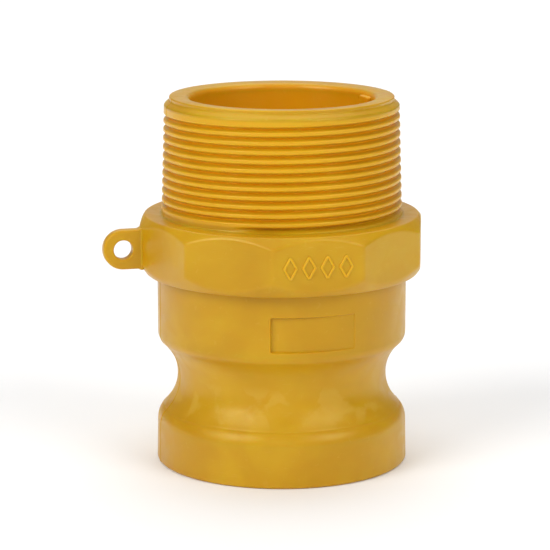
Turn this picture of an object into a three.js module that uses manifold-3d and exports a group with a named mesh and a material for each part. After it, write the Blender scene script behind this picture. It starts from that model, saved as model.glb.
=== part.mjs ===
// A 2 inch camlock adapter in moulded plastic: a cam-groove nose below, a male taper pipe
// thread above, and between them a shoulder barrel, a ten-sided wrench collar and a chain lug.
// It is one moulding, drawn here as its working sections, each a solid of its own, stacked
// face to face. Millimetres; +Z runs along the flow bore from the nose to the thread.
import * as THREE from 'three';
import { mergeVertices } from 'three/addons/utils/BufferGeometryUtils.js';
import Module from 'manifold-3d';

const wasm = await Module();
wasm.setup();

// ---- Driving dimensions ----

const BALANCE_HEIGHT = 46.5;      // centre of mass above the nose face: the origin is there, on the axis
const SIDES = 60;                 // facets round the flow axis
const FIT_GAP = 0.05;             // clearance where one solid is shaped round another
const OVERCUT = 1;                // how far a solid used as a tool passes the faces it works on
const DEG = Math.PI / 180;

// Facets along each curve.
const EDGE_STEPS = 3;
const SHOULDER_STEPS = 4;
const WAIST_STEPS = 9;
const PANEL_STEPS = 8;
const LUG_STEPS = 9;
const MOUTH_STEPS = 4;

const BORE_RADIUS = 23.1;
const BORE_BREAK = 0.6;           // chamfer on the bore's edge at the nose

// Heights above the nose face.
const GROOVE_MIDDLE = 22.3;
const COLLAR_BOTTOM = 48.7;
const COLLAR_TOP = 63.5;
const THREAD_TOP = 91.1;
const MOUTH_TOP = 93.2;

const NOSE_RADIUS = 31.9;         // at the nose's foot
const NOSE_DRAFT = 0.2;           // radius lost from the foot up to the waist
const NOSE_EDGE = 0.8;            // rounding at the nose's bottom edge
const BARREL_RADIUS = 31.5;
const GROOVE_ROOT_RADIUS = 26.57;
const GROOVE_ARC = 11.6;          // radius of the waist that the cam arms bite
const LOWER_SHOULDER = 4.9;       // convex radii that lead into the waist
const UPPER_SHOULDER = 3.0;

const COLLAR_FLATS = 10;
const COLLAR_CORNER_RADIUS = 36.95;
const COLLAR_TURN = -3.6;         // degrees from the front to the first corner
const COLLAR_TOP_CIRCLE = 34.5;
const COLLAR_TOP_SLOPE = 1.15;    // drop per millimetre outwards
const COLLAR_BOTTOM_CIRCLE = 34.4;
const COLLAR_BOTTOM_SLOPE = 1.43;

// Taper pipe thread, 11.5 turns to the inch, 1 in 16 on diameter, right hand.
const PITCH = 25.4 / 11.5;
const TAPER = 1 / 32;             // radius gained per millimetre away from the mouth
const CREST_RADIUS = 29.45;       // at the mouth
const THREAD_DEPTH = 1.3;
const CREST_SHARE = 0.36;         // parts of one pitch taken by crest and root
const ROOT_SHARE = 0.12;
const THREAD_STEPS = 36;          // facets per turn
const SPARE_TURNS = 3;            // turns of the threaded rod that are cut away at each end
const FRONT_GROOVE = 88.7;        // height of one groove at the front of the part
const NECK_HEIGHT = 0.55;         // plain band between the collar and the last groove
const MOUTH_RIM_RADIUS = 28.2;
const MOUTH_RIM_HEIGHT = 1.0;     // straight wall between the mouth's face and the lead-in
const MOUTH_FACE = 2.2;           // width of the mouth's flat face
const MOUTH_DISH = 0.25;          // fall from the flat face to the rounded inner edge
const MOUTH_ROUND = 1.4;

const PANEL_LOW = 34.2;
const PANEL_HIGH = 43.1;
const PANEL_START = -5.3;         // degrees from the front, towards +X
const PANEL_END = 34.7;
const PANEL_DEPTH_START = 0.9;
const PANEL_DEPTH_END = 0.3;

const LUG_THICKNESS = 3.0;
const LUG_HEIGHT = 10.0;
const LUG_EYE_REACH = 41.0;       // flow axis to the middle of the eye
const LUG_EYE_RADIUS = 2.4;
const LUG_MIDDLE = 55.9;

const RIB_WIDTH = 5.6;
const RIB_PROUD = 1.0;
const RIB_LENGTH = 22.0;
const RIB_DROP = 1.3;             // top of the rib below the mouth
const RIB_TURN = 110;             // degrees from the front

const MARK_COUNT = 4;
const MARK_WIDTH = 3.8;
const MARK_HEIGHT = 6.6;
const MARK_STROKE = 0.75;
const MARK_PROUD = 0.4;
const MARK_SPACING = 4.65;
const MARK_MIDDLE = 56.1;

// ---- Materials ----

function plastic(name, color) {
  return new THREE.MeshStandardMaterial({ name, color, roughness: 0.42, metalness: 0 });
}

const OCHRE = 0xd79a26;
const AMBER = 0xe0a02a;

// ---- Helpers ----

// Direction in plan at an angle in degrees from the front (-Y) towards +X.
function planPoint(radius, degrees) {
  const turn = degrees * DEG;
  return new THREE.Vector2(radius * Math.sin(turn), -radius * Math.cos(turn));
}

// Turns a closed outline of [radius, height] pairs, drawn anticlockwise, about the flow axis.
function turned(outline, sides = SIDES) {
  const points = outline.map(([radius, height]) => new THREE.Vector2(radius, height));
  points.push(points[0].clone());
  return new THREE.LatheGeometry(points, sides).rotateX(Math.PI / 2);
}

// Points along an arc in the outline plane, both ends included.
function arc(centreRadius, centreHeight, radius, start, end, steps) {
  return Array.from({ length: steps + 1 }, (_, i) => {
    const angle = start + ((end - start) * i) / steps;
    return [centreRadius + radius * Math.cos(angle), centreHeight + radius * Math.sin(angle)];
  });
}

function toSolid(geometry) {
  const bare = geometry.clone();
  bare.deleteAttribute('normal');
  bare.deleteAttribute('uv');
  const merged = mergeVertices(bare);
  const vertProperties = new Float32Array(merged.attributes.position.array);
  const triVerts = new Uint32Array(merged.index.array);
  return new wasm.Manifold(new wasm.Mesh({ numProp: 3, vertProperties, triVerts }));
}

function toGeometry(solid) {
  const mesh = solid.getMesh();
  const geometry = new THREE.BufferGeometry();
  geometry.setAttribute('position', new THREE.BufferAttribute(mesh.vertProperties, 3));
  geometry.setIndex(new THREE.BufferAttribute(mesh.triVerts, 1));
  geometry.computeVertexNormals();
  return geometry;
}

function named(name, geometry, color = OCHRE) {
  const mesh = new THREE.Mesh(geometry, plastic(name, color));
  mesh.name = name;
  return mesh;
}

// ---- Nose, waist and barrel ----

// Where a convex shoulder of a given radius leaves a cylinder and meets the waist's arc.
function shoulder(cylinderRadius, shoulderRadius, side) {
  const waistCentre = GROOVE_ROOT_RADIUS + GROOVE_ARC;
  const centreRadius = cylinderRadius - shoulderRadius;
  const rise = Math.sqrt((GROOVE_ARC + shoulderRadius) ** 2 - (waistCentre - centreRadius) ** 2);
  return { centreRadius, rise, centreHeight: GROOVE_MIDDLE + side * rise,
    meets: Math.atan2(-side * rise, waistCentre - centreRadius) };
}

const lowerShoulder = shoulder(NOSE_RADIUS - NOSE_DRAFT, LOWER_SHOULDER, -1);
const upperShoulder = shoulder(BARREL_RADIUS, UPPER_SHOULDER, 1);
const NOSE_TOP = lowerShoulder.centreHeight;
const GROOVE_TOP = upperShoulder.centreHeight;

// The ring that slides into a coupler and seals on its gasket.
function noseRing() {
  const edge = arc(NOSE_RADIUS - NOSE_EDGE, NOSE_EDGE, NOSE_EDGE, -Math.PI / 2, 0, EDGE_STEPS);
  return turned([
    [BORE_RADIUS, BORE_BREAK],
    [BORE_RADIUS + BORE_BREAK, 0],
    ...edge,
    [NOSE_RADIUS - NOSE_DRAFT, NOSE_TOP],
    [BORE_RADIUS, NOSE_TOP],
  ]);
}

// The waist between the nose and the barrel, pinched between two rounded shoulders.
function camGroove() {
  const waistCentre = GROOVE_ROOT_RADIUS + GROOVE_ARC;
  const [lower, upper] = [lowerShoulder, upperShoulder];
  const lowerArc = arc(lower.centreRadius, lower.centreHeight, LOWER_SHOULDER,
    0, lower.meets, SHOULDER_STEPS);
  const upperArc = arc(upper.centreRadius, upper.centreHeight, UPPER_SHOULDER,
    upper.meets, 0, SHOULDER_STEPS);
  const waist = arc(waistCentre, GROOVE_MIDDLE, GROOVE_ARC,
    lower.meets + Math.PI, upper.meets + Math.PI, WAIST_STEPS);
  return turned([
    [BORE_RADIUS, NOSE_TOP],
    ...lowerArc,
    ...waist.slice(1, -1),
    ...upperArc,
    [BORE_RADIUS, GROOVE_TOP],
  ]);
}

// A shallow panel cut in the barrel's side, its floor rising from one end to the other.
function panelCutter() {
  const outside = BARREL_RADIUS + OVERCUT;
  const floor = Array.from({ length: PANEL_STEPS + 1 }, (_, i) => {
    const part = i / PANEL_STEPS;
    const depth = THREE.MathUtils.lerp(PANEL_DEPTH_START, PANEL_DEPTH_END, part);
    return planPoint(BARREL_RADIUS - depth, THREE.MathUtils.lerp(PANEL_START, PANEL_END, part));
  });
  const shape = new THREE.Shape([...floor, planPoint(outside, PANEL_END),
    planPoint(outside, (PANEL_START + PANEL_END) / 2), planPoint(outside, PANEL_START)]);
  return new THREE.ExtrudeGeometry(shape, { depth: PANEL_HIGH - PANEL_LOW, bevelEnabled: false })
    .translate(0, 0, PANEL_LOW);
}

function barrel() {
  const body = turned([
    [BORE_RADIUS, GROOVE_TOP],
    [BARREL_RADIUS, GROOVE_TOP],
    [BARREL_RADIUS, COLLAR_BOTTOM],
    [BORE_RADIUS, COLLAR_BOTTOM],
  ]);
  return toGeometry(toSolid(body).subtract(toSolid(panelCutter())));
}

// ---- Wrench collar, marks and chain lug ----

function collarPrism(cornerRadius, low, high) {
  const step = 360 / COLLAR_FLATS;
  const corners = Array.from({ length: COLLAR_FLATS }, (_, i) =>
    planPoint(cornerRadius, COLLAR_TURN + i * step));
  return new THREE.ExtrudeGeometry(new THREE.Shape(corners),
    { depth: high - low, bevelEnabled: false }).translate(0, 0, low);
}

// The turned form that chamfers the collar's corners, above and below.
function collarEnvelope() {
  const reach = COLLAR_CORNER_RADIUS + OVERCUT;
  return turned([
    [BORE_RADIUS, COLLAR_BOTTOM],
    [COLLAR_BOTTOM_CIRCLE, COLLAR_BOTTOM],
    [reach, COLLAR_BOTTOM + (reach - COLLAR_BOTTOM_CIRCLE) * COLLAR_BOTTOM_SLOPE],
    [reach, COLLAR_TOP - (reach - COLLAR_TOP_CIRCLE) * COLLAR_TOP_SLOPE],
    [COLLAR_TOP_CIRCLE, COLLAR_TOP],
    [BORE_RADIUS, COLLAR_TOP],
  ]);
}

function wrenchCollar() {
  const prism = collarPrism(COLLAR_CORNER_RADIUS, COLLAR_BOTTOM - OVERCUT, COLLAR_TOP + OVERCUT);
  return toGeometry(toSolid(prism).intersect(toSolid(collarEnvelope())));
}

// A plate that stands out from one corner of the collar, with an eye for a chain's ring.
function chainLug() {
  const halfHeight = LUG_HEIGHT / 2;
  const root = COLLAR_CORNER_RADIUS - OVERCUT;
  const shape = new THREE.Shape();
  shape.moveTo(root, -halfHeight);
  shape.lineTo(LUG_EYE_REACH, -halfHeight);
  shape.absarc(LUG_EYE_REACH, 0, halfHeight, -Math.PI / 2, Math.PI / 2, false);
  shape.lineTo(root, halfHeight);
  shape.closePath();
  const eye = new THREE.Path();
  eye.absarc(LUG_EYE_REACH, 0, LUG_EYE_RADIUS, 0, 2 * Math.PI, true);
  shape.holes.push(eye);
  const turn = COLLAR_TURN - 2 * (360 / COLLAR_FLATS) - 90;
  const plate = new THREE.ExtrudeGeometry(shape,
    { depth: LUG_THICKNESS, bevelEnabled: false, curveSegments: LUG_STEPS });
  plate.translate(0, 0, -LUG_THICKNESS / 2).rotateX(Math.PI / 2);
  plate.rotateZ(turn * DEG).translate(0, 0, LUG_MIDDLE);
  const clearance = collarPrism(COLLAR_CORNER_RADIUS + FIT_GAP, COLLAR_BOTTOM, COLLAR_TOP);
  return toGeometry(toSolid(plate).subtract(toSolid(clearance)));
}

// One raised lozenge outline: a plain decoration on the flat over the panel.
function lozenge(width, height) {
  return [[width / 2, 0], [0, height / 2], [-width / 2, 0], [0, -height / 2]]
    .map(([x, y]) => new THREE.Vector2(x, y));
}

function flatMark() {
  const shape = new THREE.Shape(lozenge(MARK_WIDTH, MARK_HEIGHT));
  const inner = 1 - (2 * MARK_STROKE) / MARK_WIDTH;
  shape.holes.push(new THREE.Path(lozenge(MARK_WIDTH * inner, MARK_HEIGHT * inner)));
  return new THREE.ExtrudeGeometry(shape, { depth: MARK_PROUD, bevelEnabled: false })
    .rotateX(Math.PI / 2);
}

function flatMarks() {
  const halfStep = 180 / COLLAR_FLATS;
  const apothem = COLLAR_CORNER_RADIUS * Math.cos(halfStep * DEG);
  const flat = new THREE.Group();
  flat.rotation.z = (COLLAR_TURN + halfStep) * DEG;
  for (let i = 0; i < MARK_COUNT; i += 1) {
    const mark = named(`flat_mark_${i + 1}`, flatMark());
    const along = (i - (MARK_COUNT - 1) / 2) * MARK_SPACING;
    mark.position.set(along, -apothem - FIT_GAP, MARK_MIDDLE);
    flat.add(mark);
  }
  return flat;
}

// ---- Thread and mouth ----

function crestRadius(height) {
  return CREST_RADIUS + (MOUTH_TOP - height) * TAPER;
}

// Share of the pitch at which each of the four edges of the thread form lies, from the
// middle of a root, with the depth of cut there.
const THREAD_FORM = [
  { share: -ROOT_SHARE / 2, cut: THREAD_DEPTH },
  { share: ROOT_SHARE / 2, cut: THREAD_DEPTH },
  { share: 0.5 - CREST_SHARE / 2, cut: 0 },
  { share: 0.5 + CREST_SHARE / 2, cut: 0 },
];

// A plain threaded rod, longer than the thread at both ends. Each column of vertices holds
// every turn's four edges, and the last column joins the first one turn up.
function threadedRod(lowest, turns) {
  const perColumn = THREAD_FORM.length * turns;
  const positions = [];
  for (let column = 0; column < THREAD_STEPS; column += 1) {
    const part = column / THREAD_STEPS;
    for (let row = 0; row < perColumn; row += 1) {
      const { share, cut } = THREAD_FORM[row % THREAD_FORM.length];
      const turn = Math.floor(row / THREAD_FORM.length);
      const height = lowest + (turn + share + part) * PITCH;
      const { x, y } = planPoint(crestRadius(height) - cut, part * 360);
      positions.push(x, y, height);
    }
  }
  const bottom = positions.length / 3;
  positions.push(0, 0, lowest - PITCH, 0, 0, lowest + (turns + 1) * PITCH);
  const top = bottom + 1;
  const at = (column, row) => (column < THREAD_STEPS
    ? column * perColumn + row : row + THREAD_FORM.length);
  const index = [];
  for (let column = 0; column < THREAD_STEPS; column += 1) {
    const last = column === THREAD_STEPS - 1;
    const rows = last ? perColumn - THREAD_FORM.length : perColumn;
    for (let row = 0; row < rows - 1; row += 1) {
      const [a, b] = [at(column, row), at(column + 1, row)];
      const [c, d] = [at(column + 1, row + 1), at(column, row + 1)];
      index.push(a, b, c, a, c, d);
    }
    index.push(bottom, at(column + 1, 0), at(column, 0));
    index.push(top, at(column, rows - 1), at(column + 1, rows - 1));
  }
  for (let row = 0; row < THREAD_FORM.length; row += 1) {
    index.push(bottom, row, row + 1);
    const end = at(THREAD_STEPS - 1, perColumn - THREAD_FORM.length - 1 + row);
    index.push(top, end + 1, end);
  }
  const rod = new THREE.BufferGeometry();
  rod.setAttribute('position', new THREE.Float32BufferAttribute(positions, 3));
  rod.setIndex(index);
  return rod;
}

// The threaded sleeve above the collar, with its plain neck and its through bore.
function pipeThread() {
  const turns = Math.ceil((THREAD_TOP - COLLAR_TOP) / PITCH) + 2 * SPARE_TURNS;
  const turnsBelow = Math.ceil((FRONT_GROOVE - COLLAR_TOP) / PITCH) + SPARE_TURNS;
  const lowest = FRONT_GROOVE - turnsBelow * PITCH;
  const reach = crestRadius(COLLAR_TOP) + OVERCUT;
  const envelope = turned([[BORE_RADIUS, COLLAR_TOP], [reach, COLLAR_TOP],
    [reach, THREAD_TOP], [BORE_RADIUS, THREAD_TOP]]);
  const neckTop = COLLAR_TOP + NECK_HEIGHT;
  const neck = turned([[BORE_RADIUS, COLLAR_TOP], [crestRadius(COLLAR_TOP), COLLAR_TOP],
    [crestRadius(neckTop), neckTop], [BORE_RADIUS, neckTop]]);
  const sleeve = toSolid(threadedRod(lowest, turns)).intersect(toSolid(envelope));
  return toGeometry(sleeve.add(toSolid(neck)));
}

// The plain ring at the mouth: a lead-in cone, a short straight wall and a rounded inner edge.
function mouthRing() {
  const round = arc(BORE_RADIUS + MOUTH_ROUND, MOUTH_TOP - MOUTH_DISH - MOUTH_ROUND,
    MOUTH_ROUND, Math.PI / 2, Math.PI, MOUTH_STEPS);
  return turned([
    [BORE_RADIUS, THREAD_TOP],
    [crestRadius(THREAD_TOP), THREAD_TOP],
    [MOUTH_RIM_RADIUS, MOUTH_TOP - MOUTH_RIM_HEIGHT],
    [MOUTH_RIM_RADIUS, MOUTH_TOP],
    [MOUTH_RIM_RADIUS - MOUTH_FACE, MOUTH_TOP],
    ...round,
  ]);
}

// A low rib down the bore's wall, left where the moulding was fed.
function boreRib() {
  const facet = BORE_RADIUS * Math.cos(Math.PI / SIDES) - FIT_GAP;
  const halfWidth = RIB_WIDTH / 2;
  const outer = Math.sqrt(facet ** 2 - halfWidth ** 2);
  const depth = facet - RIB_PROUD;
  const shape = new THREE.Shape([[-halfWidth, -depth], [-halfWidth, -outer], [0, -facet],
    [halfWidth, -outer], [halfWidth, -depth]].map(([x, y]) => new THREE.Vector2(x, y)));
  return new THREE.ExtrudeGeometry(shape, { depth: RIB_LENGTH, bevelEnabled: false })
    .translate(0, 0, MOUTH_TOP - RIB_DROP - RIB_LENGTH).rotateZ(RIB_TURN * DEG);
}

// ---- Assembly ----

const adapter = new THREE.Group();
adapter.position.z = -BALANCE_HEIGHT;
adapter.add(named('nose_ring', noseRing()));
adapter.add(named('cam_groove', camGroove()));
adapter.add(named('barrel', barrel()));
adapter.add(named('wrench_collar', wrenchCollar()));
adapter.add(named('chain_lug', chainLug()));
adapter.add(named('pipe_thread', pipeThread(), AMBER));
adapter.add(named('mouth_ring', mouthRing(), AMBER));
adapter.add(named('bore_rib', boreRib()));
adapter.add(flatMarks());

export default adapter;
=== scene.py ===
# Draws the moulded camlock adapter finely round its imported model: each node is replaced by a
# dense mesh of the same shape with its edges rounded, all in one procedural moulded plastic.
import math
import bpy
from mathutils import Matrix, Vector


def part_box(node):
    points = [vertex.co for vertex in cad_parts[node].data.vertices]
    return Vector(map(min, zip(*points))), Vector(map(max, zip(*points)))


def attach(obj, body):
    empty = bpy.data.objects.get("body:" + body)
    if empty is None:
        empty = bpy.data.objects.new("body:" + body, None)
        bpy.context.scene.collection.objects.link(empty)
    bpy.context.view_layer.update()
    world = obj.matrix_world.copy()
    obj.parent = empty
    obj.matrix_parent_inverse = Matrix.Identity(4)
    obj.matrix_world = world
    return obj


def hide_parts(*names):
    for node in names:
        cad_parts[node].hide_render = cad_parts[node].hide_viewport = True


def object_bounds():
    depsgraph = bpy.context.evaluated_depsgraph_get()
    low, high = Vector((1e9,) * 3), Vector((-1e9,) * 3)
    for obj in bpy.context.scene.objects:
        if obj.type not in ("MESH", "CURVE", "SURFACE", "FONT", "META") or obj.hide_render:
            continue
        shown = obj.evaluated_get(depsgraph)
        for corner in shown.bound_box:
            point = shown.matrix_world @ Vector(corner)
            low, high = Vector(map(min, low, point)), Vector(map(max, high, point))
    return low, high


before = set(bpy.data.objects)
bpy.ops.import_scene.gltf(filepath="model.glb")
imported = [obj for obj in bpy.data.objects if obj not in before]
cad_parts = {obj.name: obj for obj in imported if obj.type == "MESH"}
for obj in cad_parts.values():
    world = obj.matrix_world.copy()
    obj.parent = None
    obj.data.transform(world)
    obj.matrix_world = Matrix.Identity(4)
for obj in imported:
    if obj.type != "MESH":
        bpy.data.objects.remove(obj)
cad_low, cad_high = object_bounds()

MM = 0.001

# ---- Sizes, in millimetres; heights are above the nose face, angles in degrees from the front ---


def top(node):
    """A node's top above the nose face."""
    return (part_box(node)[1].z - cad_low.z) / MM


def widest(node):
    """A turned node's outer radius."""
    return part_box(node)[1].x / MM


NOSE_TOP = top("nose_ring")
GROOVE_TOP = top("cam_groove")
COLLAR_BOTTOM = top("barrel")
COLLAR_TOP = top("wrench_collar")
THREAD_TOP = top("pipe_thread")
MOUTH_TOP = top("mouth_ring")

BORE_RADIUS = 23.1
BORE_BREAK = 0.6
BORE_CLEAR = 24.5                # every outside surface lies beyond this radius
NOSE_RADIUS = widest("nose_ring")
NOSE_DRAFT = 0.2
NOSE_EDGE = 0.8
BARREL_RADIUS = widest("barrel")
GROOVE_MIDDLE = 22.3
GROOVE_ROOT_RADIUS = 26.57
GROOVE_ARC = 11.6
LOWER_SHOULDER = 4.9
UPPER_SHOULDER = 3.0
CORNER_FILLET = 0.45
WITNESS_DEPTH = 0.11             # of the parting line where the lower shoulder meets the waist
WITNESS_HALF = 0.3
BORE_EDGE = 0.3
FOOT_EDGE = 0.2                  # between the nose face and the bore's chamfer

COLLAR_FLATS = 10
COLLAR_CORNER_RADIUS = 36.95
COLLAR_TURN = -3.6
COLLAR_TOP_CIRCLE = 34.5
COLLAR_TOP_SLOPE = 1.15
COLLAR_BOTTOM_CIRCLE = 34.4
COLLAR_BOTTOM_SLOPE = 1.43
COLLAR_BLEND = 0.45
COLLAR_EDGE = 0.3

PITCH = 25.4 / 11.5
TAPER = 1 / 32
CREST_RADIUS = 29.45
THREAD_DEPTH = 1.2
CREST_HALF = 0.4
ROOT_HALF = 0.1
FORM_BLEND = 0.35
FRONT_GROOVE = 88.7
THREAD_START = -0.6              # in turns down the helix from the groove at the front
THREAD_END = 11.07
THREAD_FADE_IN = 0.12
THREAD_FADE_OUT = 0.05
RELIEF_LOW = 0.6                 # above the collar, where the crests' painted highlight and the grooves' painted bounce light start
RELIEF_HIGH = 1.8
MOUTH_RIM_RADIUS = 28.2
MOUTH_RIM_HEIGHT = 1.0
MOUTH_FACE = 2.2
MOUTH_DISH = 0.25
MOUTH_ROUND = 1.4
MOUTH_FACE_EDGE = 0.8
MOUTH_EDGE = 0.35
MOUTH_BLEND = 0.4
LEAD_IN_BLEND = 0.3
NECK_FILLET = 0.5

PANEL_LOW = 34.2
PANEL_HIGH = 43.1
PANEL_START = -5.3
PANEL_END = 34.7
PANEL_DEPTH_START = 0.9
PANEL_DEPTH_END = 0.3
PANEL_CORNER = 0.6
PANEL_WALL = 0.3
PANEL_EDGE_REACH = 0.6           # how far the rings crowd on both sides of the panel's edges

LUG_THICKNESS = 3.0
LUG_HALF_HEIGHT = 5.0
LUG_EYE_REACH = 41.0
LUG_EYE_RADIUS = 2.4
LUG_MIDDLE = 55.9
LUG_ROOT_REACH = 35.8
LUG_FILLET = 0.3
LUG_EDGE = 0.55
EYE_EDGE = 0.4
LUG_TURN = COLLAR_TURN - 2 * 360 / COLLAR_FLATS

SEAM_TURNS = [LUG_TURN, LUG_TURN + 180]
SEAM_PROUD = 0.14
SEAM_HALF_ANGLE = 0.4
SEAM_REACH = 1.2                 # how far the sections crowd on both sides of a seam

RIB_TURN = 110
RIB_HALF_WIDTH = 2.8
RIB_PROUD = 1.0
RIB_TOP = top("bore_rib")
RIB_LENGTH = 22.0
RIB_FOOT = 4
RIB_FOOT_STEP = 0.2
RIB_BURIED = 0.5
RIB_TOP_EDGE = 0.4
RIB_SIDE_EDGE = 0.3

MARK_WIDTH_SHARE = 3.8 / 6.6
MARK_STROKE = 0.6
MARK_PROUD = 0.38
MARK_ROOT = 0.4
MARK_EDGE = 0.22
MARK_SIDE_ROUND = 0.35
MARK_TIP_ROUND = 0.25

# Distances of the rings beside an edge that is rounded by about 0.3, and by about 0.45
SHORT_GAPS = (0, 0.02, 0.06, 0.12, 0.2, 0.3)
LONG_GAPS = (0, 0.02, 0.08, 0.16, 0.26, 0.38)
SHARP_ANGLE = 40                 # two faces that meet at more than this are shaded apart

# ---- Mesh building ----------------------------------------------------------------------------


def spread(start, end, steps):
    """Evenly spaced values, both ends included."""
    return [start + (end - start) * i / steps for i in range(steps + 1)]


def eased(start, end, steps):
    """Values that crowd together towards both ends."""
    shares = [(1 - math.cos(math.pi * i / steps)) / 2 for i in range(steps + 1)]
    return [start + (end - start) * share for share in shares]


def smooth_step(low, high, value):
    part = min(max((value - low) / (high - low), 0), 1)
    return part * part * (3 - 2 * part)


def soft_min(a, b, width):
    """The lesser of two values, eased over a width where they are close."""
    h = min(max(0.5 + 0.5 * (b - a) / width, 0), 1)
    return b + (a - b) * h - width * h * (1 - h)


def soft_max(a, b, width):
    return -soft_min(-a, -b, width)


def edge_ease(distance, fillet):
    """How far a rounded edge has drawn in at a distance from the face beyond it."""
    if distance >= fillet:
        return 0
    return fillet - math.sqrt(fillet ** 2 - (fillet - max(distance, 0)) ** 2)


def around(radius, degrees, height):
    """A point in metres at an angle from the front towards +X."""
    turn = math.radians(degrees)
    flat = Vector((radius * math.sin(turn), -radius * math.cos(turn), height)) * MM
    return flat + Vector((0, 0, cad_low.z))


def rounded(corners, steps=5):
    """A closed outline through (x, y, fillet) corners, each fillet drawn as an arc."""
    outline = []
    for i, (x, y, fillet) in enumerate(corners):
        here = Vector((x, y))
        if not fillet:
            outline.append(here)
            continue
        back = (Vector(corners[i - 1][:2]) - here).normalized()
        ahead = (Vector(corners[(i + 1) % len(corners)][:2]) - here).normalized()
        half = back.angle(ahead) / 2
        centre = here + (back + ahead).normalized() * fillet / math.sin(half)
        first = here + back * fillet / math.tan(half) - centre
        last = here + ahead * fillet / math.tan(half) - centre
        for part in spread(0, -first.angle_signed(last), steps):
            cosine, sine = math.cos(part), math.sin(part)
            spoke = (first.x * cosine - first.y * sine, first.x * sine + first.y * cosine)
            outline.append(centre + Vector(spoke))
    return outline


def ring_angles(edges, reach, fine, coarse=240):
    """Ascending angles all the way round, closer together within reach of each edge."""
    step = 360 / coarse
    plain = [edges[0] - reach + step * i for i in range(coarse)]
    clear = reach + step / 2
    values = [a for a in plain if all(abs(a - edge) > clear for edge in [*edges, edges[0] + 360])]
    for edge in edges:
        values += spread(edge - reach, edge + reach, fine)
    return sorted(values)


def skin(name, nodes, sections, closed=True, relief=None):
    """A closed mesh over sections of equal length, which replaces nodes of the model.

    relief says where each vertex lies for the plastic: -1 deep in a groove, which takes painted
    bounce light, 1 on a crest, which takes a painted highlight.
    """
    count, size = len(sections), len(sections[0])
    faces = []
    for i in range(count if closed else count - 1):
        j = (i + 1) % count
        for k in range(size):
            m = (k + 1) % size
            faces.append((i * size + k, j * size + k, j * size + m, i * size + m))
    if not closed:
        faces.append(tuple(range(size)))
        faces.append(tuple(reversed(range((count - 1) * size, count * size))))
    mesh = bpy.data.meshes.new(name)
    mesh.from_pydata([point for section in sections for point in section], [], faces)
    mesh.shade_smooth()
    mesh.set_sharp_from_angle(angle=math.radians(SHARP_ANGLE))
    mesh.materials.append(plastic)
    if relief:
        mesh.attributes.new("relief", "FLOAT", "POINT").data.foreach_set("value", relief)
    piece = bpy.data.objects.new(name, mesh)
    bpy.context.collection.objects.link(piece)
    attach(piece, "root")
    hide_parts(*nodes)


def seam(degrees):
    """How proud the mould's parting seam stands at an angle: one ridge by the lug, one opposite."""
    off_seam = (degrees - LUG_TURN + 90) % 180 - 90
    return SEAM_PROUD * math.exp(-(off_seam / SEAM_HALF_ANGLE) ** 2)


def turned(name, node, outline):
    """A skin with one outline of (radius, height) points all the way round, seams included."""
    sections = []
    for angle in ring_angles(SEAM_TURNS, SEAM_REACH, fine=16):
        proud = seam(angle)
        sections.append([around(r + proud if r > BORE_CLEAR else r, angle, z) for r, z in outline])
    skin(name, [node], sections)


# ---- Plastic ----------------------------------------------------------------------------------

DEEP_OCHRE = (0.53, 0.266, 0.003, 1)
PALE_OCHRE = (0.605, 0.338, 0.006, 1)
WARM_OCHRE = (0.58, 0.291, 0.004, 1)
# Laid over worn scuffs and flecks, and over the waist band, where it is partly wear and partly a
# painted highlight on the lower flank.
WORN_AND_HIGHLIGHT_OCHRE = (0.72, 0.48, 0.09, 1)
# Painted bounce light: the deep orange glow of light reflected between the walls of the bore and
# the thread's grooves.
BOUNCE_LIGHT_OCHRE = (0.95, 0.38, 0.001, 1)
# Painted highlight: the thread's crests and the raised marks are lightened as if lit from above and
# in front.
CREST_HIGHLIGHT_OCHRE = (0.74, 0.4, 0.008, 1)
RUBBED_AND_HIGHLIGHT_SHARE = 0.2               # how far each colour is laid over the one under it
SCUFFED_SHARE = 0.18
BORE_BOUNCE_SHARE = 0.5
GROOVE_BOUNCE_SHARE = 0.6
CREST_HIGHLIGHT_SHARE = 0.8

CLOUD_SIZE = 22                  # across, in millimetres, as are the next seven
BLOTCH_SIZE = 5
GRAIN_SIZE = 0.55
PATCH_SIZE = 8
FLECK_SIZE = 1.6
STREAK_SIZE = 2.6
PEEL_SIZE = 0.9
SINK_SIZE = 9
STREAK_SQUASH = 9                # how many times as wide as it is high a streak is
PEEL_HEIGHT = 0.012              # bump heights, in millimetres
SINK_HEIGHT = 0.12
CHAFED_HEIGHT = 0.02

WAIST_LOW = 14.8                 # height above the nose face of the waist band that is partly worn and partly painted highlight
WAIST_HIGH = 23.5
WAIST_FADE = 1.5
BALANCE = -cad_low.z / MM        # the origin's height above the nose face
BORE_REACH = 23.2                # from the axis; the painted bounce light in the bore fades out beyond it
BORE_REACH_END = 23.8


def add_node(tree, kind, inputs=None, **settings):
    """A shader node with its settings; an input given as a socket is linked."""
    node = tree.nodes.new(kind)
    for name, value in settings.items():
        setattr(node, name, value)
    for name, value in (inputs or {}).items():
        if isinstance(value, bpy.types.NodeSocket):
            tree.links.new(value, node.inputs[name])
        else:
            node.inputs[name].default_value = value
    return node


def noise(tree, where, size, detail, distortion=0.0):
    """Cloudy noise from 0 to 1 whose features are about a size in millimetres across."""
    settings = {"Scale": 1 / (size * MM), "Detail": detail, "Distortion": distortion}
    return add_node(tree, "ShaderNodeTexNoise", {"Vector": where, **settings}).outputs["Fac"]


def ramp(tree, value, low, high, to_low=0.0, to_high=1.0):
    """A smooth rise between two input values."""
    ends = {"From Min": low, "From Max": high, "To Min": to_low, "To Max": to_high}
    node = add_node(tree, "ShaderNodeMapRange", {"Value": value, **ends})
    node.interpolation_type = "SMOOTHSTEP"
    return node.outputs["Result"]


def combine(tree, operation, a, b):
    return add_node(tree, "ShaderNodeMath", {0: a, 1: b}, operation=operation).outputs["Value"]


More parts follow.
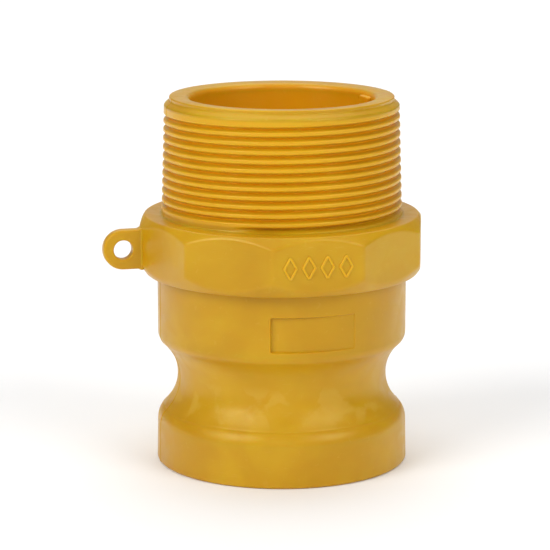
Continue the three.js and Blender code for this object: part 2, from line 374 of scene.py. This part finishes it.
def tint(tree, amount, under, over):
    """One colour laid over another by an amount."""
    colours = {0: amount, 6: under, 7: over}
    return add_node(tree, "ShaderNodeMix", colours, data_type="RGBA").outputs[2]


def band(tree, value, low, high, soft):
    """One between two heights, fading to nothing over a soft edge."""
    rise = ramp(tree, value, low - soft, low + soft)
    fall = ramp(tree, value, high - soft, high + soft, 1.0, 0.0)
    return combine(tree, "MULTIPLY", rise, fall)


def stretched(tree, where, factors):
    """Coordinates multiplied axis by axis."""
    inputs = {0: where, 1: factors}
    return add_node(tree, "ShaderNodeVectorMath", inputs, operation="MULTIPLY").outputs["Vector"]


def mottled(tree, where, clouds, blotches):
    """The plastic's own colour: clouds and blotches of near ochres, and a fine darker grain."""
    grain = noise(tree, where, GRAIN_SIZE, 2)
    colour = tint(tree, ramp(tree, clouds, 0.3, 0.7), DEEP_OCHRE, PALE_OCHRE)
    colour = tint(tree, ramp(tree, blotches, 0.35, 0.75, 0.0, 0.3), colour, WARM_OCHRE)
    return tint(tree, ramp(tree, grain, 0.62, 0.8, 0.0, 0.2), colour, DEEP_OCHRE)


def rubbing_and_highlight(tree, where):
    """How far a place is worn or lit: ragged patches round the waist, partly chafing and partly a
    painted highlight on the upward-facing lower flank, and fainter worn flecks anywhere.
    """
    height = add_node(tree, "ShaderNodeSeparateXYZ", {"Vector": where}).outputs["Z"]
    low, high = (WAIST_LOW - BALANCE) * MM, (WAIST_HIGH - BALANCE) * MM
    waist = band(tree, height, low, high, WAIST_FADE * MM)
    ragged = ramp(tree, noise(tree, where, PATCH_SIZE, 8, 0.3), 0.5, 0.57)
    flecks = ramp(tree, noise(tree, where, FLECK_SIZE, 5, 0.5), 0.64, 0.7)
    patches = combine(tree, "MULTIPLY", waist, ragged)
    return combine(tree, "MAXIMUM", patches, combine(tree, "MULTIPLY", flecks, 0.5))


def scuffing(tree, where, clouds):
    """How far a place is scuffed: level streaks, most of them where the clouds are pale."""
    flat_space = stretched(tree, where, (1, 1, STREAK_SQUASH))
    streaks = ramp(tree, noise(tree, flat_space, STREAK_SIZE, 5, 0.4), 0.62, 0.7)
    return combine(tree, "MULTIPLY", streaks, ramp(tree, clouds, 0.45, 0.6, 0.25, 1.0))


def painted_bounce_light(tree, where, relief):
    """How far a place takes painted bounce light, the deep orange of light reflected between walls:
    in the bore and deep in the thread's groove.
    """
    plan = stretched(tree, where, (1, 1, 0))
    reach = add_node(tree, "ShaderNodeVectorMath", {0: plan}, operation="LENGTH").outputs["Value"]
    bore = ramp(tree, reach, BORE_REACH * MM, BORE_REACH_END * MM, BORE_BOUNCE_SHARE, 0.0)
    return combine(tree, "MAXIMUM", bore, ramp(tree, relief, 0.0, -1.0, 0.0, GROOVE_BOUNCE_SHARE))


def surface_height(tree, where, worn):
    """Fine peel, shallow sink marks and chafing, as a height in metres."""
    peel = combine(tree, "MULTIPLY", noise(tree, where, PEEL_SIZE, 2), PEEL_HEIGHT * MM)
    sink = combine(tree, "MULTIPLY", noise(tree, where, SINK_SIZE, 2), SINK_HEIGHT * MM)
    chafed = combine(tree, "MULTIPLY", worn, CHAFED_HEIGHT * MM)
    return combine(tree, "ADD", combine(tree, "ADD", peel, sink), chafed)


def make_plastic():
    """Satin moulded plastic: mottled ochre, paler and duller where worn, with painted bounce light
    deeper orange in recesses, a painted highlight on crests and marks, and partly a painted
    highlight on the waist's worn band.
    """
    material = bpy.data.materials.new("ochre_plastic")
    material.use_nodes = True
    tree = material.node_tree
    shader = tree.nodes["Principled BSDF"]
    where = add_node(tree, "ShaderNodeTexCoord").outputs["Object"]
    relief = add_node(tree, "ShaderNodeAttribute", attribute_name="relief").outputs["Fac"]
    clouds = noise(tree, where, CLOUD_SIZE, 3, 0.6)
    blotches = noise(tree, where, BLOTCH_SIZE, 4, 0.8)
    rubbed_and_highlight = rubbing_and_highlight(tree, where)
    scuffs = scuffing(tree, where, clouds)
    worn = combine(tree, "MAXIMUM", rubbed_and_highlight, scuffs)

    colour = mottled(tree, where, clouds, blotches)
    # Paler where worn, and on the waist's lower flank partly a painted highlight.
    colour = tint(tree, combine(tree, "MULTIPLY", rubbed_and_highlight, RUBBED_AND_HIGHLIGHT_SHARE), colour, WORN_AND_HIGHLIGHT_OCHRE)
    colour = tint(tree, combine(tree, "MULTIPLY", scuffs, SCUFFED_SHARE), colour, WORN_AND_HIGHLIGHT_OCHRE)
    # Painted bounce light, deeper orange in the bore and the thread's grooves.
    colour = tint(tree, painted_bounce_light(tree, where, relief), colour, BOUNCE_LIGHT_OCHRE)
    # Painted highlight on the thread's crests and on the raised marks.
    colour = tint(tree, ramp(tree, relief, 0.2, 1.0, 0.0, CREST_HIGHLIGHT_SHARE), colour, CREST_HIGHLIGHT_OCHRE)
    tree.links.new(colour, shader.inputs["Base Color"])

    roughness = ramp(tree, blotches, 0.3, 0.7, 0.3, 0.42)
    roughness = combine(tree, "ADD", roughness, combine(tree, "MULTIPLY", worn, 0.14))
    tree.links.new(roughness, shader.inputs["Roughness"])

    height = surface_height(tree, where, worn)
    bump = add_node(tree, "ShaderNodeBump", {"Height": height, "Distance": 1.0, "Strength": 0.6})
    tree.links.new(bump.outputs["Normal"], shader.inputs["Normal"])

    shader.inputs["Specular IOR Level"].default_value = 0.62
    shader.inputs["Specular Tint"].default_value = (1, 0.93, 0.45, 1)
    shader.inputs["Subsurface Weight"].default_value = 0.35
    shader.inputs["Subsurface Radius"].default_value = (1.0, 0.3, 0.03)
    shader.inputs["Subsurface Scale"].default_value = 1.4 * MM
    return material


plastic = make_plastic()

# ---- Nose, waist and barrel -------------------------------------------------------------------


def make_nose():
    turned("nose_ring_skin", "nose_ring", rounded([
        (BORE_RADIUS, NOSE_TOP, 0),
        (BORE_RADIUS, BORE_BREAK, BORE_EDGE),
        (BORE_RADIUS + BORE_BREAK, 0, FOOT_EDGE),
        (NOSE_RADIUS, 0, NOSE_EDGE),
        (NOSE_RADIUS - NOSE_DRAFT, NOSE_TOP, 0),
    ]))


def arc(centre, size, start, end, steps):
    """Points on an arc, closer together towards both ends."""
    return [centre + Vector((math.cos(a), math.sin(a))) * size for a in eased(start, end, steps)]


def make_groove():
    """The waist: one hollow arc between two convex shoulders that it meets without a crease."""
    waist = Vector((GROOVE_ROOT_RADIUS + GROOVE_ARC, GROOVE_MIDDLE))
    lower = Vector((NOSE_RADIUS - NOSE_DRAFT - LOWER_SHOULDER, NOSE_TOP))
    upper = Vector((BARREL_RADIUS - UPPER_SHOULDER, GROOVE_TOP))
    leave = math.atan2(waist.y - lower.y, waist.x - lower.x)
    arrive = math.atan2(waist.y - upper.y, waist.x - upper.x)
    outline = arc(lower, LOWER_SHOULDER, 0, leave, 40)
    parting = outline[-1].y
    outline += arc(waist, GROOVE_ARC, leave + math.pi, arrive + math.pi, 70)[1:-1]
    for point in outline:
        point.x -= WITNESS_DEPTH * math.exp(-((point.y - parting) / WITNESS_HALF) ** 2)
    outline += arc(upper, UPPER_SHOULDER, arrive, 0, 20)
    outline += [Vector((BORE_RADIUS, GROOVE_TOP)), Vector((BORE_RADIUS, NOSE_TOP))]
    turned("cam_groove_skin", "cam_groove", outline)


def panel_depth(degrees, height):
    """How far the barrel's panel is sunk at a place: a rounded rectangle with steep walls."""
    part = (degrees - PANEL_START) / (PANEL_END - PANEL_START)
    floor = PANEL_DEPTH_START + (PANEL_DEPTH_END - PANEL_DEPTH_START) * part
    width = math.radians(PANEL_END - PANEL_START) * BARREL_RADIUS
    beyond_x = (abs(part - 0.5) - 0.5) * width + PANEL_CORNER
    off_middle = abs(height - (PANEL_LOW + PANEL_HIGH) / 2)
    beyond_z = off_middle - (PANEL_HIGH - PANEL_LOW) / 2 + PANEL_CORNER
    outside = math.hypot(max(beyond_x, 0), max(beyond_z, 0)) + min(max(beyond_x, beyond_z), 0)
    return floor * smooth_step(0, PANEL_WALL, PANEL_CORNER - outside)


def make_barrel():
    """The shoulder cylinder, with rings crowded at the panel's edges and at the collar's fillet."""
    angles = ring_angles(sorted([*SEAM_TURNS, PANEL_START, PANEL_END]), reach=1.5, fine=30)
    panel_edges = (PANEL_LOW, PANEL_HIGH)
    plain_rings = spread(GROOVE_TOP, COLLAR_BOTTOM, 30)[1:-1]
    heights = [GROOVE_TOP, *(COLLAR_BOTTOM - gap for gap in LONG_GAPS)]
    heights += [z for z in plain_rings if all(abs(z - edge) > 0.8 for edge in panel_edges)]
    for edge in panel_edges:
        heights += spread(edge - PANEL_EDGE_REACH, edge + PANEL_EDGE_REACH, 24)
    heights.sort()
    sections = []
    for angle in angles:
        plain = BARREL_RADIUS + seam(angle)
        radii = [plain - panel_depth(angle, z) + edge_ease(COLLAR_BOTTOM - z, CORNER_FILLET)
            for z in heights]
        side = [around(radius, angle, z) for radius, z in zip(radii, heights)]
        bore = [around(BORE_RADIUS, angle, z) for z in (COLLAR_BOTTOM, GROOVE_TOP)]
        sections.append(side + bore)
    skin("barrel_skin", ["barrel"], sections)


# ---- Wrench collar, marks and chain lug -------------------------------------------------------

FLAT = 360 / COLLAR_FLATS
APOTHEM = COLLAR_CORNER_RADIUS * math.cos(math.radians(FLAT / 2))


def flat_radius(degrees):
    """The collar's radius at an angle, its corners slightly rounded."""
    off_flat = (degrees - COLLAR_TURN) % FLAT - FLAT / 2
    this_side = APOTHEM / math.cos(math.radians(off_flat))
    next_side = APOTHEM / math.cos(math.radians(FLAT - abs(off_flat)))
    return soft_min(this_side, next_side, COLLAR_BLEND)


def collar_radius(degrees, height):
    """Flats, cut back by one cone at the top and a steeper one at the bottom."""
    over_top = COLLAR_TOP_CIRCLE + (COLLAR_TOP - height) / COLLAR_TOP_SLOPE
    under = COLLAR_BOTTOM_CIRCLE + (height - COLLAR_BOTTOM) / COLLAR_BOTTOM_SLOPE
    radius = soft_min(flat_radius(degrees), over_top, COLLAR_BLEND)
    radius = soft_min(radius, under, COLLAR_BLEND)
    radius -= edge_ease(height - COLLAR_BOTTOM, COLLAR_EDGE)
    return radius - edge_ease(COLLAR_TOP - height, COLLAR_EDGE)


def make_collar():
    corners = [COLLAR_TURN + i * FLAT for i in range(COLLAR_FLATS)]
    heights = [COLLAR_BOTTOM + gap for gap in SHORT_GAPS]
    heights += spread(COLLAR_BOTTOM + 0.45, COLLAR_TOP - 0.45, 90)
    heights += [COLLAR_TOP - gap for gap in reversed(SHORT_GAPS)]
    sections = []
    for angle in ring_angles(corners, reach=1.5, fine=12):
        side = [around(collar_radius(angle, z), angle, z) for z in heights]
        bore = [around(BORE_RADIUS, angle, z) for z in (COLLAR_TOP, COLLAR_BOTTOM)]
        sections.append(side + bore)
    skin("wrench_collar_skin", ["wrench_collar"], sections)


def make_mark(node):
    """A raised lozenge outline: a rounded bead that follows the lozenge's path on its flat."""
    low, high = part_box(node)
    middle = (low + high) / 2
    turn = COLLAR_TURN + FLAT / 2
    sideways = around(1, turn + 90, 0) - around(0, 0, 0)
    outward = around(1, turn, 0) - around(0, 0, 0)
    upward = Vector((0, 0, MM))
    on_flat = middle + outward * (APOTHEM - middle.dot(outward) / MM ** 2)
    half_height = (high.z - low.z) / 2 / MM
    half_width = half_height * MARK_WIDTH_SHARE
    side_distance = half_width * half_height / math.hypot(half_width, half_height)
    inset = 1 - MARK_STROKE / 2 / side_distance
    path = rounded([
        (half_width * inset, 0, MARK_SIDE_ROUND),
        (0, half_height * inset, MARK_TIP_ROUND),
        (-half_width * inset, 0, MARK_SIDE_ROUND),
        (0, -half_height * inset, MARK_TIP_ROUND),
    ], 8)
    bead = rounded([
        (-MARK_STROKE / 2, -MARK_ROOT, 0),
        (MARK_STROKE / 2, -MARK_ROOT, 0),
        (MARK_STROKE / 2, MARK_PROUD, MARK_EDGE),
        (-MARK_STROKE / 2, MARK_PROUD, MARK_EDGE),
    ], 4)
    sections = []
    for i, here in enumerate(path):
        ahead = (path[(i + 1) % len(path)] - path[i - 1]).normalized()
        across = Vector((ahead.y, -ahead.x))
        section = []
        for off, out in bead:
            at = here + across * off
            section.append(on_flat + sideways * at.x + upward * at.y + outward * out)
        sections.append(section)
    # Relief 1 gives the raised mark the crests' painted highlight.
    skin(node + "_skin", [node], sections, relief=[1.0] * len(bead) * len(path))


def lug_flare(reach, aside):
    """Fillet between lug and collar at a distance from the flow axis and from the lug's middle."""
    collar_face = COLLAR_CORNER_RADIUS - abs(aside) * math.tan(math.radians(FLAT / 2))
    return edge_ease(reach - collar_face, LUG_FILLET)


def lug_rim(along, rise):
    """Distance from the eye's middle to the plate's rim in a direction."""
    if along >= 0:
        return LUG_HALF_HEIGHT
    to_root = (LUG_EYE_REACH - LUG_ROOT_REACH) / -along
    rim = LUG_HALF_HEIGHT / max(abs(rise), 0.001)
    for _ in range(4):
        rim = (LUG_HALF_HEIGHT + lug_flare(LUG_EYE_REACH + along * rim, 0)) / max(abs(rise), 0.001)
    return min(rim, to_root)


def lug_section(rim):
    """Outline of (distance from the eye's middle, side) from the eye's wall to the rim and back."""
    half = LUG_THICKNESS / 2
    edge = rounded([
        (LUG_EYE_RADIUS, -half, EYE_EDGE),
        (rim, -half, LUG_EDGE),
        (rim, half, LUG_EDGE),
        (LUG_EYE_RADIUS, half, EYE_EDGE),
    ])
    size = len(edge) // 4
    clear = 0.05
    reaches = spread(LUG_EYE_RADIUS + EYE_EDGE + clear, rim - LUG_EDGE - clear, 24)
    face = [Vector((r, -half)) for r in reaches]
    back = [Vector((point.x, half)) for point in reversed(face)]
    return edge[:size] + face + edge[size:3 * size] + back + edge[3 * size:]


def make_lug():
    """A plate round an eye: each section runs from the eye's wall to the plate's rim and back."""
    outward = around(1, LUG_TURN, 0) - around(0, 0, 0)
    facing = outward.cross(Vector((0, 0, 1)))
    upward = Vector((0, 0, MM))
    middle = around(LUG_EYE_REACH, LUG_TURN, LUG_MIDDLE)
    sections = []
    for turn in spread(0, 2 * math.pi, 144)[:-1]:
        along, rise = math.cos(turn), math.sin(turn)
        section = []
        for distance, side in lug_section(lug_rim(along, rise)):
            flare = lug_flare(LUG_EYE_REACH + along * distance, side) * side / (LUG_THICKNESS / 2)
            ray = (outward * along + upward * rise) * distance
            section.append(middle + ray + facing * (side + flare))
        sections.append(section)
    skin("chain_lug_skin", ["chain_lug"], sections)


# ---- Thread, mouth and bore rib ---------------------------------------------------------------


def crest_radius(height):
    """The tapered cone that the thread's crests lie on."""
    return CREST_RADIUS + (MOUTH_TOP - height) * TAPER


def groove_cut(degrees, height):
    """Depth of the right-hand groove at a place, fading in and out at its two ends."""
    turns_down = (FRONT_GROOVE - height) / PITCH + degrees / 360
    nearest = round(turns_down)
    travelled = nearest - degrees / 360
    present = smooth_step(THREAD_START, THREAD_START + THREAD_FADE_IN, travelled)
    present *= 1 - smooth_step(THREAD_END - THREAD_FADE_OUT, THREAD_END, travelled)
    off_middle = abs(turns_down - nearest) * PITCH
    up_flank = (off_middle - ROOT_HALF) / (PITCH / 2 - CREST_HALF - ROOT_HALF)
    depth = soft_max(THREAD_DEPTH * (1 - up_flank), 0, FORM_BLEND)
    return present * soft_min(depth, THREAD_DEPTH, FORM_BLEND)


def thread_radius(degrees, height):
    """The outside of the threaded sleeve and of its tapered mouth."""
    cut = crest_radius(height) - groove_cut(degrees, height)
    step = MOUTH_TOP - MOUTH_RIM_HEIGHT
    narrowing = (crest_radius(THREAD_TOP) - MOUTH_RIM_RADIUS) / (step - THREAD_TOP)
    lead_in = MOUTH_RIM_RADIUS + soft_max((step - height) * narrowing, 0, LEAD_IN_BLEND)
    radius = soft_min(cut, lead_in, MOUTH_BLEND) - edge_ease(MOUTH_TOP - height, MOUTH_EDGE)
    return radius + edge_ease(height - COLLAR_TOP, NECK_FILLET)


def thread_relief(degrees, height):
    """-1 in the groove and 1 on the crest, easing to 0 over the plain ends of the sleeve."""
    above_neck = smooth_step(COLLAR_TOP + RELIEF_LOW, COLLAR_TOP + RELIEF_HIGH, height)
    lead_in = MOUTH_TOP - THREAD_TOP
    below_mouth = smooth_step(lead_in, lead_in + 1, MOUTH_TOP - height)
    return above_neck * below_mouth * (1 - 2 * groove_cut(degrees, height) / THREAD_DEPTH)


def sleeve(name, node, heights, inside):
    """A part of the threaded sleeve: its outside at each height, and then its inner outline."""
    sections = []
    relief = []
    for angle in ring_angles(SEAM_TURNS, SEAM_REACH, fine=10, coarse=288):
        side = [around(thread_radius(angle, z) + seam(angle), angle, z) for z in heights]
        sections.append(side + [around(radius, angle, z) for radius, z in inside])
        relief += [thread_relief(angle, z) for z in heights] + [0] * len(inside)
    skin(name, [node], sections, relief=relief)


def make_thread():
    neck = [COLLAR_TOP + gap for gap in LONG_GAPS]
    heights = neck + spread(COLLAR_TOP + NECK_FILLET, THREAD_TOP, 270)
    bore = [(BORE_RADIUS, THREAD_TOP), (BORE_RADIUS, COLLAR_TOP)]
    sleeve("pipe_thread_skin", "pipe_thread", heights, bore)


def make_mouth():
    heights = spread(THREAD_TOP, MOUTH_TOP - 0.4, 16)
    heights += [MOUTH_TOP - gap for gap in reversed(SHORT_GAPS)]
    inner = rounded([
        (MOUTH_RIM_RADIUS - MOUTH_EDGE, MOUTH_TOP, 0),
        (MOUTH_RIM_RADIUS - MOUTH_FACE, MOUTH_TOP, MOUTH_FACE_EDGE),
        (BORE_RADIUS, MOUTH_TOP - MOUTH_DISH, MOUTH_ROUND),
        (BORE_RADIUS, THREAD_TOP, 0),
    ], 10)
    sleeve("mouth_ring_skin", "mouth_ring", heights, inner[1:])


def make_rib():
    """The low rib down the bore's wall, its edges rounded and its lower end tapered away."""
    outward = around(1, RIB_TURN, 0) - around(0, 0, 0)
    sideways = around(1, RIB_TURN + 90, 0) - around(0, 0, 0)
    heights = spread(RIB_TOP - RIB_LENGTH, RIB_TOP - 0.5, 40)
    heights += [RIB_TOP - gap for gap in reversed(LONG_GAPS)]
    sections = []
    for height in heights:
        proud = RIB_PROUD * smooth_step(0, RIB_FOOT, height - RIB_TOP + RIB_LENGTH + RIB_FOOT_STEP)
        proud -= edge_ease(RIB_TOP - height, RIB_TOP_EDGE)
        half = RIB_HALF_WIDTH - edge_ease(RIB_TOP - height, RIB_TOP_EDGE)
        off_wall = BORE_RADIUS - math.sqrt(BORE_RADIUS ** 2 - half ** 2) + proud
        outline = rounded([
            (-RIB_BURIED, -half, 0),
            (off_wall, -half, RIB_SIDE_EDGE),
            (off_wall, half, RIB_SIDE_EDGE),
            (-RIB_BURIED, half, 0),
        ])
        axis = around(0, 0, height)
        sections.append([axis + outward * (BORE_RADIUS - inward) + sideways * across
            for inward, across in outline])
    skin("bore_rib_skin", ["bore_rib"], sections, closed=False)


make_nose()
make_groove()
make_barrel()
make_collar()
make_lug()
make_thread()
make_mouth()
make_rib()
for node in sorted(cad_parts):
    if node.startswith("flat_mark"):
        make_mark(node)

# ---- Floor, light and camera ------------------------------------------------------------------

FLOOR_REACH = 6                  # in metres
WORLD_STRENGTH = 0.14
LIGHTS = {                       # azimuth, elevation, strength, width; the angles in degrees
    "left_key": (-50, 35, 1.48, 35),
    "right_key": (50, 35, 1.0, 35),
    "front_fill": (0, 20, 0.24, 30),
    "top_bank": (0, 88, 0.55, 60),
    "back_bank": (180, 65, 1.22, 60),
    "back_low": (180, 12, 0.15, 40),
}
CAMERA_PITCH = 11.9              # in degrees, looking down
CAMERA_DISTANCE = 0.6336         # in metres, from the target
CAMERA_LENS = 163.3              # for a sensor 36 mm wide
TARGET_ASIDE = -1.7              # in millimetres, from the flow axis and above the nose face
TARGET_HEIGHT = 47.15


def make_floor():
    """A wide sheet of white paper at the height of the nose face."""
    mesh = bpy.data.meshes.new("floor")
    corners = [(-1, -1), (1, -1), (1, 1), (-1, 1)]
    points = [(x * FLOOR_REACH, y * FLOOR_REACH, cad_low.z) for x, y in corners]
    mesh.from_pydata(points, [], [(0, 1, 2, 3)])
    material = bpy.data.materials.new("floor_paper")
    material.use_nodes = True
    shader = material.node_tree.nodes["Principled BSDF"]
    shader.inputs["Base Color"].default_value = (0.97, 0.97, 0.97, 1)
    shader.inputs["Roughness"].default_value = 0.9
    mesh.materials.append(material)
    floor = bpy.data.objects.new("floor", mesh)
    bpy.context.collection.objects.link(floor)


def make_light(name, azimuth, elevation, strength, width):
    """A distant soft source, placed by the direction that its light comes from."""
    lamp = bpy.data.lights.new(name, "SUN")
    lamp.energy = strength
    lamp.angle = math.radians(width)
    light = bpy.data.objects.new(name, lamp)
    turn, rise = math.radians(azimuth), math.radians(elevation)
    level = math.cos(rise)
    source = Vector((math.sin(turn) * level, -math.cos(turn) * level, math.sin(rise)))
    light.rotation_mode = "QUATERNION"
    light.rotation_quaternion = source.to_track_quat("Z", "Y")
    light.location = source
    bpy.context.collection.objects.link(light)


def make_world(strength):
    """An even white surround that fills the shadows."""
    world = bpy.data.worlds.new("studio")
    world.use_nodes = True
    background = world.node_tree.nodes["Background"]
    background.inputs["Color"].default_value = (1, 1, 1, 1)
    background.inputs["Strength"].default_value = strength
    bpy.context.scene.world = world
    bpy.context.scene.view_settings.view_transform = "Standard"


def make_camera():
    """A long lens a little above the part, looking slightly down at the middle of its height."""
    pitch = math.radians(CAMERA_PITCH)
    target = Vector((TARGET_ASIDE * MM, 0, cad_low.z + TARGET_HEIGHT * MM))
    back = Vector((0, -math.cos(pitch), math.sin(pitch)))
    camera = bpy.data.cameras.new("camera")
    camera.lens = CAMERA_LENS
    camera.sensor_width = 36
    eye = bpy.data.objects.new("camera", camera)
    eye.location = target + back * CAMERA_DISTANCE
    eye.rotation_euler = back.to_track_quat("Z", "Y").to_euler()
    bpy.context.collection.objects.link(eye)
    bpy.context.scene.camera = eye


make_floor()
make_world(WORLD_STRENGTH)
for name, aim in LIGHTS.items():
    make_light(name, *aim)
make_camera()
